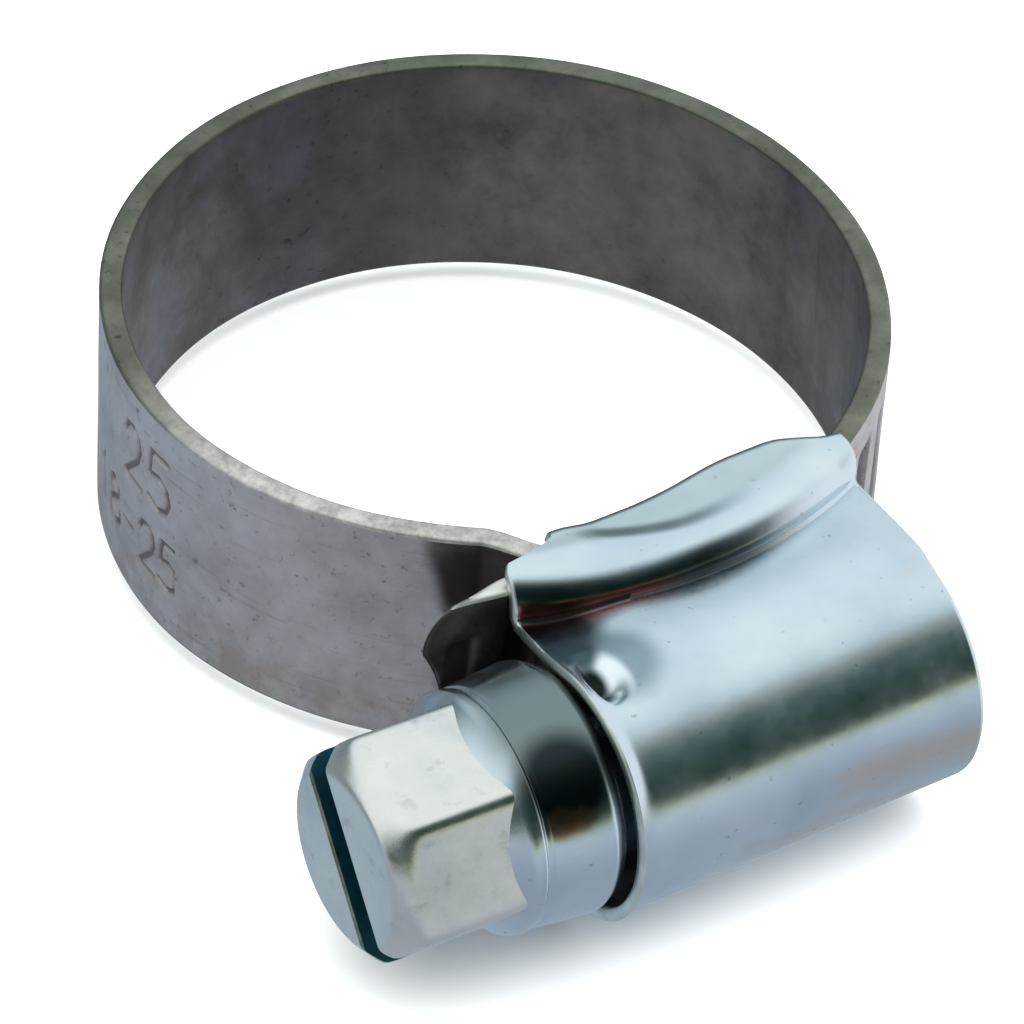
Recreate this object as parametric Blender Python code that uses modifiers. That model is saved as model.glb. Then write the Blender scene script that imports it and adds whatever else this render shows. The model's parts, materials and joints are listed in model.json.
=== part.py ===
"""Worm-drive hose clamp: pressed housing, worm screw and a strap that closes up as the screw turns.

Units are metres, +Z is up.  The clamp lies flat: the ring's axis is +Z, the housing is on the -Y side,
and the screw runs along X with its hexagon head towards -X.  The origin is at the middle of the
bounding box, at its base.
"""
import math

import bmesh
import bpy
from mathutils import Matrix, Vector

# ---- strap ------------------------------------------------------------------------------------
STRAP_WIDTH = 0.0090
STRAP_THICKNESS = 0.0008
RING_RADIUS = 0.0129            # middle of the strap's thickness, clamp fully open
RING_X = 0.001683               # the ring's centre in the part's frame
RING_Y = 0.004572
LAYER_GAP = 0.00015             # between the strap's two layers in the housing
JOINT_GAP = 0.00020             # between two neighbouring spans
SPANS = 8

# ---- seat: the arc that both layers follow inside the housing ----------------------------------
SEAT_X = RING_X - 0.0012
SEAT_Y = RING_Y + 0.00015
SEAT_RADIUS = 0.01426           # middle of the free end's thickness
FIXED_RADIUS = SEAT_RADIUS - STRAP_THICKNESS - LAYER_GAP
FREE_END_DEG = 61.0             # ring angle where the free end's arc gives way to the ring
MOUTH_DEG = 325.8               # ring angle where the strap steps out into the housing
FIXED_LEFT = -0.0052            # ends of the fixed end, from the ring's centre along X
FIXED_RIGHT = 0.0036
LEFT_SETBACK = 0.00026          # how much closer the ring lies on its way into the left mouth

# ---- tail: the free end past the housing --------------------------------------------------------
TAIL_BEND_X = -0.0060           # leaves the seat arc here
TAIL_LEVEL_X = -0.0078          # level from here on
TAIL_Y = -0.01292
TAIL_TIP_X = -0.0108
TAIL_CORNER = 0.0009
TAIL_HOLLOW = 0.0008            # depth of the hollow in the end edge
TAIL_TRIM = 0.0003              # cut off past the tip
TIP_STEPS = 5

# ---- pressed threads ----------------------------------------------------------------------------
PITCH = 0.0022
GROOVE_DEPTH = 0.00042
GROOVE_TOP = 0.00124
GROOVE_FLOOR = 0.00078
GROOVE_LENGTH = 0.0060
MESH_RADIUS = SEAT_RADIUS + STRAP_THICKNESS / 2 - GROOVE_DEPTH / 2
GROOVE_LEAN_DEG = 5.4
MESH_X = -0.0012                # at rest a thread crest stands here, on the seat's middle line
GROOVE_FIRST = -4               # grooves are counted from the one under that crest
GROOVE_LAST = 6

# ---- worm screw, along its own axis from the ring's centre line ---------------------------------
SCREW_RADIAL = 0.0180           # from the ring's centre out to the screw's axis
SCREW_YAW_DEG = 1.4             # the loose screw leans a little in its housing
SCREW_PITCH_DEG = 1.4
SCREW_PIVOT_X = -0.0015         # the lean is about this point of the axis
HEX_FLATS = 0.0070
HEX_END = -0.0166
HEX_BASE = -0.01225
HEX_CHAMFER = 0.0005
HEX_TURN_DEG = 10.0             # where one corner stands, about +X from +Y
SLOT_TURN_DEG = 50.0
SLOT_WIDTH = 0.00115
SLOT_DEPTH = 0.0012
FLANGE_RADIUS = 0.00415
FLANGE_END = -0.0114
COLLAR_SMALL = 0.0041
COLLAR_LARGE = 0.0043
COLLAR_END = -0.0087
NECK_RADIUS = 0.0029
WORM_START = -0.0059
WORM_END = 0.0036
WORM_ROOT = 0.0031
WORM_CREST = 0.00375
JOURNAL_END = 0.0046
THREAD_ROOT_WIDTH = 0.00105
THREAD_CREST_WIDTH = 0.00045
THREAD_STEPS = 20
THREAD_SUNK = 0.0003            # how far the thread's bar reaches into the root
SCREW_SIDES = 32
EDGE_BREAK = 0.0003

# ---- housing --------------------------------------------------------------------------------------
SHEET = 0.0005
BARREL_RADIUS = 0.00445
BARREL_LEFT = -0.00835
BARREL_RIGHT = 0.00485
SKIRT_LEFT = -0.0062
SKIRT_RIGHT = 0.0055
SKIRT_HALF = 0.0052
SKIRT_OUTER = 0.01535           # radius of the skirts' shoulders, about the seat's centre
SKIRT_FOLD = 0.0007             # radius of the folds along the skirts' edges
BARREL_SIDES = 48
CHANNEL_HALF = 0.0046
CHANNEL_OUTER = SEAT_RADIUS + STRAP_THICKNESS / 2 + 0.00019
CHANNEL_INNER = FIXED_RADIUS - STRAP_THICKNESS / 2 - 0.00015
LIP_HALF = 0.0034               # the hemmed lips reach in to this distance from the mid plane
BASE_DEPTH = 0.01195            # the housing's flat bore side, from the ring's centre
DIMPLE_X = -0.0072
DIMPLE_DEG = 5.0
DIMPLE_SIZE = (0.0014, 0.0014, 0.0011)
DIMPLE_RADIUS = 0.00370
DIMPLE_TILT_DEG = 12.0

MID_Z = SKIRT_HALF              # height of the ring's mid plane
ARC_STEP_DEG = 4.0
CUT_MARGIN = 0.003              # how far cutters stand past what they cut
BEND_REACH = 0.0007             # handle length of the strap's bends

ZINC = (0.60, 0.64, 0.68)
STEEL = (0.30, 0.285, 0.275)


# ---- scene helpers ---------------------------------------------------------------------------------
def clear_scene():
    for item in list(bpy.data.objects):
        bpy.data.objects.remove(item, do_unlink=True)


def make_collection(name):
    collection = bpy.data.collections.new(name)
    bpy.context.scene.collection.children.link(collection)
    return collection


def make_material(name, colour, roughness, metallic):
    material = bpy.data.materials.new(name)
    material.use_nodes = True
    shader = material.node_tree.nodes["Principled BSDF"]
    shader.inputs["Base Color"].default_value = (*colour, 1.0)
    shader.inputs["Roughness"].default_value = roughness
    shader.inputs["Metallic"].default_value = metallic
    return material


def new_object(name, mesh, collection, material=None):
    item = bpy.data.objects.new(name, mesh)
    collection.objects.link(item)
    if material:
        mesh.materials.append(material)
    return item


def mesh_from_bmesh(name, bm):
    bmesh.ops.recalc_face_normals(bm, faces=bm.faces)
    if bm.calc_volume(signed=True) < 0.0:
        bmesh.ops.reverse_faces(bm, faces=bm.faces)
    mesh = bpy.data.meshes.new(name)
    bm.to_mesh(mesh)
    bm.free()
    return mesh


def smooth(item, angle_deg=35.0):
    item.data.shade_smooth()
    item.data.set_sharp_from_angle(angle=math.radians(angle_deg))


def add_boolean(item, cutter, operation):
    modifier = item.modifiers.new(operation.title(), "BOOLEAN")
    modifier.operation = operation
    modifier.solver = "EXACT"
    modifier.object = cutter


def hide_cutter(cutter):
    cutter.hide_render = True
    cutter.display_type = "WIRE"


# ---- shapes ------------------------------------------------------------------------------------------
def plan(x, y, z=0.0):
    """A point given from the ring's centre and mid plane, in the part's frame."""
    return Vector((RING_X + x, RING_Y + y, MID_Z + z))


def prism(name, outline, half_height, collection, material=None):
    """A flat outline of (x, y) from the ring's centre, extruded both ways from the mid plane."""
    curve = bpy.data.curves.new(name, "CURVE")
    curve.dimensions = "2D"
    curve.fill_mode = "BOTH"
    curve.extrude = half_height
    spline = curve.splines.new("POLY")
    spline.points.add(len(outline) - 1)
    for point, (x, y) in zip(spline.points, outline):
        point.co = (RING_X + x, RING_Y + y, 0.0, 1.0)
    spline.use_cyclic_u = True
    shape = bpy.data.objects.new(name + "_outline", curve)
    collection.objects.link(shape)
    shape.location.z = MID_Z
    bpy.context.view_layer.update()
    evaluated = shape.evaluated_get(bpy.context.evaluated_depsgraph_get())
    mesh = bpy.data.meshes.new_from_object(evaluated)
    bm = bmesh.new()
    bm.from_mesh(mesh)
    bpy.data.meshes.remove(mesh)
    bmesh.ops.remove_doubles(bm, verts=bm.verts, dist=0.000001)
    item = new_object(name, mesh_from_bmesh(name, bm), collection, material)
    item.matrix_world = shape.matrix_world
    bpy.data.objects.remove(shape, do_unlink=True)
    return item


def add_sides(bm, lower, upper):
    """Faces joining two closed rings of vertices, matched one to one."""
    for index in range(len(lower)):
        after = (index + 1) % len(lower)
        bm.faces.new((lower[index], lower[after], upper[after], upper[index]))


def round_solid(name, profile, sides, collection, material=None):
    """A turned solid about X: profile is a list of (x, radius), closed onto the axis at both ends."""
    bm = bmesh.new()
    rings = []
    for x, radius in profile:
        ring = []
        for index in range(sides):
            angle = 2 * math.pi * index / sides
            ring.append(bm.verts.new((x, radius * math.cos(angle), radius * math.sin(angle))))
        rings.append(ring)
    for lower, upper in zip(rings, rings[1:]):
        add_sides(bm, lower, upper)
    bm.faces.new(rings[0])
    bm.faces.new(rings[-1])
    return new_object(name, mesh_from_bmesh(name, bm), collection, material)


def box(name, size, matrix, collection):
    bm = bmesh.new()
    bmesh.ops.create_cube(bm, size=1.0, matrix=matrix @ Matrix.Diagonal((*size, 1.0)))
    return new_object(name, mesh_from_bmesh(name, bm), collection)


# ---- strap path -----------------------------------------------------------------------------------------
def seat_polar(degrees):
    """Distance from the ring's centre to the free end's arc, at a ring angle (0 is -Y, 90 is +X)."""
    angle = math.radians(degrees)
    direction = Vector((math.sin(angle), -math.cos(angle)))
    centre = Vector((SEAT_X - RING_X, SEAT_Y - RING_Y))
    along = centre.dot(direction)
    return along + math.sqrt(along ** 2 - centre.length_squared + SEAT_RADIUS ** 2)


def smoothstep(value):
    value = min(max(value, 0.0), 1.0)
    return value * value * (3.0 - 2.0 * value)


def ring_point(degrees):
    """The strap's middle on its way round the ring, from the ring's centre."""
    blend = smoothstep((degrees - FREE_END_DEG + 5.0) / 54.0)
    radius = seat_polar(degrees) * (1.0 - blend) + RING_RADIUS * blend
    radius -= LEFT_SETBACK * smoothstep((degrees - 270.0) / 50.0)
    angle = math.radians(degrees)
    return Vector((radius * math.sin(angle), -radius * math.cos(angle)))


def arc_point(radius, x):
    """The point of an arc about the seat's centre at x, on the housing side, from the ring's centre."""
    across = x - (SEAT_X - RING_X)
    return Vector((x, SEAT_Y - RING_Y - math.sqrt(radius ** 2 - across ** 2)))


def arc_slope(radius, x):
    """Unit tangent of that arc, towards +X."""
    across = x - (SEAT_X - RING_X)
    return Vector((math.sqrt(radius ** 2 - across ** 2), across)).normalized()


def arc_points(radius, left, right):
    """Points along an arc about the seat's centre, from x = left to x = right."""
    start = math.asin((left - (SEAT_X - RING_X)) / radius)
    stop = math.asin((right - (SEAT_X - RING_X)) / radius)
    count = max(2, math.ceil(math.degrees(stop - start) / ARC_STEP_DEG) + 1)
    points = []
    for index in range(count):
        angle = start + (stop - start) * index / (count - 1)
        points.append(Vector((SEAT_X - RING_X + radius * math.sin(angle),
                              SEAT_Y - RING_Y - radius * math.cos(angle))))
    return points


def bezier(start, start_handle, end_handle, end, count):
    points = []
    for index in range(count):
        t = index / (count - 1)
        s = 1.0 - t
        first = start * s ** 3 + start_handle * 3 * s * s * t
        points.append(first + end_handle * 3 * s * t * t + end * t ** 3)
    return points


def span_angle(index):
    """Ring angle of pivot 1 to SPANS; pivot SPANS is where the ring joins the free end."""
    return MOUTH_DEG + (FREE_END_DEG - MOUTH_DEG) * index / SPANS


def ring_run(high_deg, low_deg):
    """Points round the ring from one ring angle down to another, set back by half a joint gap."""
    setback = math.degrees(JOINT_GAP / 2 / RING_RADIUS)
    high = high_deg - setback
    low = low_deg + setback
    count = math.ceil((high - low) / ARC_STEP_DEG) + 1
    return [ring_point(high + (low - high) * index / (count - 1)) for index in range(count)]


def mouth_run():
    """The step from the fixed end's line in the housing down to the ring."""
    start = arc_point(FIXED_RADIUS, FIXED_LEFT - JOINT_GAP)
    end = ring_point(MOUTH_DEG)
    before = ring_point(MOUTH_DEG - 1.0)
    leaving = arc_slope(FIXED_RADIUS, start.x) * BEND_REACH
    arriving = (end - before).normalized() * BEND_REACH
    return bezier(start, start - leaving, end + arriving, end, 7)


def strip(name, path, half_width, collection, material):
    """A strap of constant width along a path of points in plan."""
    left = []
    right = []
    for index, point in enumerate(path):
        before = path[max(index - 1, 0)]
        after = path[min(index + 1, len(path) - 1)]
        along = (after - before).normalized()
        normal = Vector((-along.y, along.x)) * (STRAP_THICKNESS / 2)
        left.append(point + normal)
        right.append(point - normal)
    return prism(name, left + right[::-1], half_width, collection, material)


# ---- pieces -----------------------------------------------------------------------------------------------
def make_fixed_end(collection, material):
    path = arc_points(FIXED_RADIUS, FIXED_LEFT, FIXED_RIGHT)
    return strip("strap_fixed_end", path, STRAP_WIDTH / 2, collection, material)


def make_spans(collection, material):
    spans = []
    for index in range(SPANS):
        high = MOUTH_DEG if index == 0 else span_angle(index)
        path = ring_run(high, span_angle(index + 1))
        if index == 0:
            path = mouth_run() + path[1:]
        spans.append(strip(f"strap_span_{index + 1}", path, STRAP_WIDTH / 2, collection, material))
    return spans


def place_on_path(path, distance):
    """Point and unit tangent at a distance along the path, counted from where it crosses MESH_X."""
    travelled = 0.0
    stations = []
    for before, after in zip(path, path[1:]):
        length = (after - before).length
        stations.append((travelled, length, before, after))
        if before.x <= MESH_X <= after.x:
            crossing = travelled + length * (MESH_X - before.x) / (after.x - before.x)
        travelled += length
    target = crossing + distance
    for start, length, before, after in stations:
        if start <= target <= start + length:
            return before.lerp(after, (target - start) / length), (after - before).normalized()
    raise ValueError("a groove lies past the end of the strap")


def groove_matrix(path, number):
    """Frame of a pressed groove: x along the strap, y in from its outer face, z along the groove."""
    step = PITCH * SEAT_RADIUS / MESH_RADIUS
    point, along = place_on_path(path, number * step)
    turn = Matrix.Rotation(math.atan2(along.y, along.x), 4, "Z")
    outwards = Matrix.Translation((0.0, -STRAP_THICKNESS / 2, 0.0))
    lean = Matrix.Rotation(math.radians(GROOVE_LEAN_DEG), 4, "Y")
    return Matrix.Translation(plan(*point)) @ turn @ outwards @ lean


def make_groove_cutter(path, cutters):
    """All the pressed grooves: trapezoid bars laid across the free end's outer face."""
    bm = bmesh.new()
    flare = (GROOVE_TOP - GROOVE_FLOOR) / 2
    floor = GROOVE_FLOOR / 2
    mouth = floor + 2 * flare
    section = [(-floor, GROOVE_DEPTH), (floor, GROOVE_DEPTH), (mouth, -GROOVE_DEPTH), (-mouth, -GROOVE_DEPTH)]
    for number in range(GROOVE_FIRST, GROOVE_LAST + 1):
        matrix = groove_matrix(path, number)
        ends = []
        for z in (-GROOVE_LENGTH / 2, GROOVE_LENGTH / 2):
            ends.append([bm.verts.new(matrix @ Vector((x, y, z))) for x, y in section])
        low, high = ends
        bm.faces.new(low)
        bm.faces.new(high[::-1])
        add_sides(bm, low, high)
    cutter = new_object("groove_cutter", mesh_from_bmesh("groove_cutter", bm), cutters)
    hide_cutter(cutter)
    return cutter


def tip_outline():
    """The free end's tip seen square on, from its upper side edge round to the lower one."""
    half = STRAP_WIDTH / 2
    tip = RING_X + TAIL_TIP_X
    corner = []
    for index in range(TIP_STEPS + 1):
        angle = math.radians(90.0 * index / TIP_STEPS)
        corner.append((tip + TAIL_CORNER * (1 - math.sin(angle)), half - TAIL_CORNER * (1 - math.cos(angle))))
    hollow = []
    for index in range(1, 2 * TIP_STEPS):
        part = 1.0 - index / TIP_STEPS
        hollow.append((tip + TAIL_HOLLOW * (1 - part ** 2), (half - TAIL_CORNER) * part))
    return corner + hollow + [(x, -z) for x, z in reversed(corner)]


def make_tail_cutter(cutters):
    """What is cut off round the tip: a frame beyond the end's rounded and hollowed outline."""
    inside = RING_X + TAIL_TIP_X + TAIL_CORNER
    beyond = RING_X + TAIL_TIP_X - CUT_MARGIN
    side = STRAP_WIDTH / 2 + CUT_MARGIN
    loop = tip_outline() + [(inside, -side), (beyond, -side), (beyond, side), (inside, side)]
    bm = bmesh.new()
    tail_y = RING_Y + TAIL_Y
    low = [bm.verts.new((x, tail_y - CUT_MARGIN, MID_Z + z)) for x, z in loop]
    high = [bm.verts.new((x, tail_y + CUT_MARGIN, MID_Z + z)) for x, z in loop]
    bm.faces.new(low)
    bm.faces.new(high)
    add_sides(bm, low, high)
    cutter = new_object("tail_cutter", mesh_from_bmesh("tail_cutter", bm), cutters)
    hide_cutter(cutter)
    return cutter


def make_free_end(collection, cutters, material):
    bend = arc_point(SEAT_RADIUS, TAIL_BEND_X)
    level = Vector((TAIL_LEVEL_X, TAIL_Y))
    leaving = Vector((BEND_REACH, 0.0))
    arriving = arc_slope(SEAT_RADIUS, bend.x) * BEND_REACH
    tail = [Vector((TAIL_TIP_X - TAIL_TRIM, TAIL_Y))]
    tail += bezier(level, level + leaving, bend - arriving, bend, 5)
    end = ring_point(FREE_END_DEG)
    path = tail + arc_points(SEAT_RADIUS, TAIL_BEND_X, end.x - JOINT_GAP / 2)[1:]
    free_end = strip("strap_free_end", path, STRAP_WIDTH / 2, collection, material)
    add_boolean(free_end, make_groove_cutter(path, cutters), "DIFFERENCE")
    add_boolean(free_end, make_tail_cutter(cutters), "DIFFERENCE")
    return free_end


def band(name, inner, outer, left, right, half, collection, material=None):
    """An arc band about the seat's centre between two radii, cut off square at x = left and right."""
    outline = arc_points(inner, left, right) + arc_points(outer, left, right)[::-1]
    return prism(name, outline, half, collection, material)


def barrel_cylinder(name, left, right, radius, collection, material=None):
    """A cylinder on the screw hole's axis."""
    item = round_solid(name, [(right, radius), (left, radius)], BARREL_SIDES, collection, material)
    facing = Matrix.Rotation(math.pi / BARREL_SIDES, 4, "X")
    item.data.transform(Matrix.Translation(plan(0.0, -SCREW_RADIAL)) @ facing)
    return item


def make_skirts(cutters):
    """The solid that the skirts are cut from, with folded edges and a flat side towards the hose."""
    outline = arc_points(SKIRT_OUTER, SKIRT_LEFT, SKIRT_RIGHT)
    outline += [Vector((SKIRT_RIGHT, -BASE_DEPTH)), Vector((SKIRT_LEFT, -BASE_DEPTH))]
    skirts = prism("skirt_block", outline, SKIRT_HALF, cutters)
    bevel = skirts.modifiers.new("Bevel", "BEVEL")
    bevel.width = SKIRT_FOLD
    bevel.segments = 2
    bevel.limit_method = "ANGLE"
    bevel.angle_limit = math.radians(60.0)
    return skirts


def make_lip_cutter(cutters):
    """The window between the hemmed lips, under the strap."""
    left = SKIRT_LEFT - CUT_MARGIN
    right = SKIRT_RIGHT + CUT_MARGIN
    below = -BASE_DEPTH + CUT_MARGIN
    outline = arc_points(CHANNEL_INNER + LAYER_GAP, left, right)
    outline += [Vector((right, below)), Vector((left, below))]
    return prism("lip_cutter", outline, LIP_HALF, cutters)


def make_dimple(cutters):
    """The pressed-in stop near the barrel's mouth, behind the screw's collar."""
    round_axis = Matrix.Rotation(math.radians(DIMPLE_DEG), 4, "X")
    out = Matrix.Translation((DIMPLE_X, 0.0, DIMPLE_RADIUS))
    tilt = Matrix.Rotation(math.radians(DIMPLE_TILT_DEG), 4, "Y")
    place = Matrix.Translation(plan(0.0, -SCREW_RADIAL)) @ round_axis @ out @ tilt
    return box("dimple_block", DIMPLE_SIZE, place, cutters)


def make_housing(collection, cutters, material):
    housing = barrel_cylinder("housing", BARREL_LEFT, BARREL_RIGHT, BARREL_RADIUS, collection, material)
    bore = barrel_cylinder("bore_cutter", BARREL_LEFT - CUT_MARGIN, BARREL_RIGHT + CUT_MARGIN,
                           BARREL_RADIUS - SHEET, cutters)
    channel = band("channel_cutter", CHANNEL_INNER, CHANNEL_OUTER, SKIRT_LEFT - CUT_MARGIN,
                   SKIRT_RIGHT + CUT_MARGIN, CHANNEL_HALF, cutters)
    steps = ((make_skirts(cutters), "UNION"), (bore, "DIFFERENCE"), (channel, "DIFFERENCE"),
             (make_lip_cutter(cutters), "DIFFERENCE"), (make_dimple(cutters), "UNION"))
    for cutter, operation in steps:
        add_boolean(housing, cutter, operation)
        hide_cutter(cutter)
    smooth(housing)
    return housing


def screw_matrix():
    """The screw's axis: X turned by its lean about the pivot point."""
    pivot = plan(SCREW_PIVOT_X, -SCREW_RADIAL)
    yaw = Matrix.Rotation(math.radians(-SCREW_YAW_DEG), 4, "Z")
    pitch = Matrix.Rotation(math.radians(SCREW_PITCH_DEG), 4, "Y")
    return Matrix.Translation(pivot) @ yaw @ pitch @ Matrix.Translation((-SCREW_PIVOT_X, 0.0, 0.0))


def make_thread(cutters):
    """The worm's right-handed thread as one helical bar, sunk a little into the root."""
    half_root = THREAD_ROOT_WIDTH / 2
    half_crest = THREAD_CREST_WIDTH / 2
    inside = WORM_ROOT - THREAD_SUNK
    section = [(-half_root, inside), (half_root, inside), (half_root, WORM_ROOT),
               (half_crest, WORM_CREST), (-half_crest, WORM_CREST), (-half_root, WORM_ROOT)]
    start = WORM_START + half_root
    stop = WORM_END - half_root
    count = round((stop - start) / PITCH * THREAD_STEPS)
    bm = bmesh.new()
    rings = []
    for index in range(count + 1):
        x = start + PITCH * index / THREAD_STEPS
        angle = 2 * math.pi * (x - MESH_X) / PITCH
        ring = []
        for offset, radius in section:
            ring.append(bm.verts.new((x + offset, radius * math.cos(angle), radius * math.sin(angle))))
        rings.append(ring)
    for lower, upper in zip(rings, rings[1:]):
        add_sides(bm, lower, upper)
    bm.faces.new(rings[0])
    bm.faces.new(rings[-1])
    return new_object("thread_bar", mesh_from_bmesh("thread_bar", bm), cutters)


def make_hexagon(cutters):
    """The hexagon head with its end chamfered all round."""
    corner = HEX_FLATS / math.sqrt(3.0)
    base = HEX_BASE + EDGE_BREAK
    hexagon = round_solid("hex_block", [(HEX_END, corner), (base, corner)], 6, cutters)
    hexagon.data.transform(Matrix.Rotation(math.radians(HEX_TURN_DEG), 4, "X"))
    past = HEX_END - CUT_MARGIN
    crown = round_solid("crown_block", [(past, corner - HEX_CHAMFER - CUT_MARGIN),
                                        (HEX_END + HEX_CHAMFER, corner + EDGE_BREAK / 10),
                                        (base + EDGE_BREAK, corner + EDGE_BREAK / 10)],
                        SCREW_SIDES, cutters)
    add_boolean(hexagon, crown, "INTERSECT")
    return hexagon, crown


def make_screw(collection, cutters, material):
    profile = [(HEX_BASE, FLANGE_RADIUS - EDGE_BREAK), (HEX_BASE + EDGE_BREAK, FLANGE_RADIUS),
               (FLANGE_END - EDGE_BREAK, FLANGE_RADIUS), (FLANGE_END, COLLAR_SMALL),
               (COLLAR_END - EDGE_BREAK, COLLAR_LARGE), (COLLAR_END, COLLAR_LARGE - EDGE_BREAK),
               (COLLAR_END, NECK_RADIUS), (WORM_START, NECK_RADIUS), (WORM_START, WORM_ROOT),
               (WORM_END, WORM_ROOT), (WORM_END, NECK_RADIUS), (JOURNAL_END, NECK_RADIUS)]
    screw = round_solid("worm_screw", profile, SCREW_SIDES, collection, material)
    hexagon, crown = make_hexagon(cutters)
    slot = box("slot_cutter", (2 * SLOT_DEPTH, 2 * HEX_FLATS, SLOT_WIDTH),
               Matrix.Translation((HEX_END, 0.0, 0.0)), cutters)
    slot.data.transform(Matrix.Rotation(math.radians(SLOT_TURN_DEG), 4, "X"))
    thread = make_thread(cutters)
    for cutter, operation in ((hexagon, "UNION"), (slot, "DIFFERENCE"), (thread, "UNION")):
        add_boolean(screw, cutter, operation)
    for item in (screw, hexagon, crown, slot, thread):
        item.matrix_world = screw_matrix()
    for cutter in (hexagon, crown, slot, thread):
        hide_cutter(cutter)
    smooth(screw)
    return screw


def put_origins_on_joints(spans, free_end):
    """Each strap piece turns about its own pivot, so its origin goes there."""
    pivots = [ring_point(span_angle(index + 1)) for index in range(SPANS)]
    seat_centre = Vector((SEAT_X - RING_X, SEAT_Y - RING_Y))
    for item, point in list(zip(spans, pivots)) + [(free_end, seat_centre)]:
        target = plan(*point)
        item.data.transform(Matrix.Translation(item.location - target))
        item.location = target


def main():
    clear_scene()
    clamp = make_collection("hose_clamp")
    cutters = make_collection("cutters")
    zinc = make_material("zinc_plate", ZINC, 0.25, 1.0)
    steel = make_material("strap_steel", STEEL, 0.5, 1.0)
    make_housing(clamp, cutters, zinc)
    make_screw(clamp, cutters, zinc)
    make_fixed_end(clamp, steel)
    spans = make_spans(clamp, steel)
    free_end = make_free_end(clamp, cutters, steel)
    put_origins_on_joints(spans, free_end)


main()
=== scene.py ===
"""Worm-drive hose clamp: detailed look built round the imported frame.

Lengths in the shape code are millimetres from the ring's centre, and to_frame() turns them into the
frame's metres.  s runs along X, u is the distance out from the ring's centre towards -Y, z is up from
the ring's mid plane.
"""
import json
import math

import bmesh
import bpy
from mathutils import Matrix, Vector


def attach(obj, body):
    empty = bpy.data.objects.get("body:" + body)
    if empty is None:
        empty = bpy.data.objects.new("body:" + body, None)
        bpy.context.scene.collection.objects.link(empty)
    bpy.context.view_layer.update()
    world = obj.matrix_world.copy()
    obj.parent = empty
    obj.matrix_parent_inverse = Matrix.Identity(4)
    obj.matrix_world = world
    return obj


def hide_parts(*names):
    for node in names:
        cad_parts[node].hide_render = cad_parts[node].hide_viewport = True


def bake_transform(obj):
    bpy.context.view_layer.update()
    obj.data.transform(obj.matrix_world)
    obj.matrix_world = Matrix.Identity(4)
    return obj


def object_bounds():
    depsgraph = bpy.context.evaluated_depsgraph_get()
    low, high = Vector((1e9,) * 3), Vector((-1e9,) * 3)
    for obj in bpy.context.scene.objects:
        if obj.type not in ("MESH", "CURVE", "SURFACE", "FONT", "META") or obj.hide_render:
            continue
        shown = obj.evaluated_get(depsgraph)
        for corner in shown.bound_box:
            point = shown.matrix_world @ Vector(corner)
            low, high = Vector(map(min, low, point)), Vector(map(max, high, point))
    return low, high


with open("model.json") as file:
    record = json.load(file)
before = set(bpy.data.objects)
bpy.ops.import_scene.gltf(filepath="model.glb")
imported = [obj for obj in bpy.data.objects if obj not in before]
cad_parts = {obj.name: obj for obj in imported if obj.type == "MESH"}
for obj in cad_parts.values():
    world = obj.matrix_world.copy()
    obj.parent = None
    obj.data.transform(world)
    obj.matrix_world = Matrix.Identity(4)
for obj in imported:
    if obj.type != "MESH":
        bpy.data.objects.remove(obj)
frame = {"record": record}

CAD_LOW, CAD_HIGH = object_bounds()
JOINTS = {joint["name"]: joint for joint in frame["record"]["behaviour"]["joints"]}
MM = 0.001

# ---- strap, as in the CAD ----
SEAT = Vector(JOINTS["strap_feed"]["pos_m"])
SEAT_OFFSET = Vector((-1.2, 0.15))          # the seat's centre from the ring's centre
RING = SEAT - Vector((*SEAT_OFFSET, 0.0)) * MM
HALF_WIDTH = 4.5
HALF_THICK = 0.4
RING_RADIUS = 12.9
SEAT_RADIUS = 14.26
FIXED_RADIUS = 13.31
FREE_END_DEG = 61.0
MOUTH_DEG = 325.8
BLEND_DEG = (56.0, 110.0)                   # where the seat's arc passes into the ring
LEFT_SETBACK = 0.26
SETBACK_DEG = (270.0, 320.0)
SPANS = 8
THREADED_SPANS = (8, 7)
STAMPED_SPAN = 2
TAIL_SEAM_BACK = 3.0
FIXED_LEFT = -5.2
FIXED_RIGHT = 3.6
JOINT_GAP = 0.2
TAIL_TIP = -10.8
TAIL_LEVEL = -7.8
TAIL_BEND = -6.0
TAIL_V = -12.92
BEND_REACH = 0.7
RING_STEPS = 700
STRAP_SHARP_DEG = 40.0
EDGE_ROUND = 0.16
THINNEST = 0.02
ROLL_DEPTH = 0.012          # waviness left by rolling
TIP_THICK = 0.16            # share of the full thickness at the tail's tip
TAPER = 3.6
TIP_RADIUS = 1.7
TIP_HOLLOW = 0.8
TIP_ROWS = (0.0, 0.02, 0.05, 0.09, 0.14, 0.2, 0.3)
TIP_LENGTH = 0.45
TIP_REACH = 3.0             # how far in the tip's outline bends the mesh rows

# Mesh steps across the strap and along it.
PLAIN_MESH = (0.5, 0.2)
MOUTH_MESH = (0.5, 0.1)
THREAD_MESH = (0.18, 0.09)
STAMP_MESH = (0.055, 0.055)

# ---- pressed threads ----
PITCH = 2.2
GROOVE_DEPTH = 0.42
GROOVE_TOP = 1.24
GROOVE_FLOOR = 0.78
GROOVE_HALF_LENGTH = 3.0
GROOVE_LEAN = math.tan(math.radians(5.4))
MESH_X = -1.2
GROOVE_STEP = PITCH * SEAT_RADIUS / (SEAT_RADIUS + HALF_THICK - GROOVE_DEPTH / 2)
GROOVE_FIRST = -4
GROOVE_LAST = 10
WALL_IN = 0.06
WALL_OUT = 0.04
END_IN = 0.35
END_OUT = 0.05
THREAD_BUMP = 0.05          # what shows of a thread on the inner face
LEAN_FROM = 3.0
LEAN_FULL = 5.0
LEAN_FADE = 2.5

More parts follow.
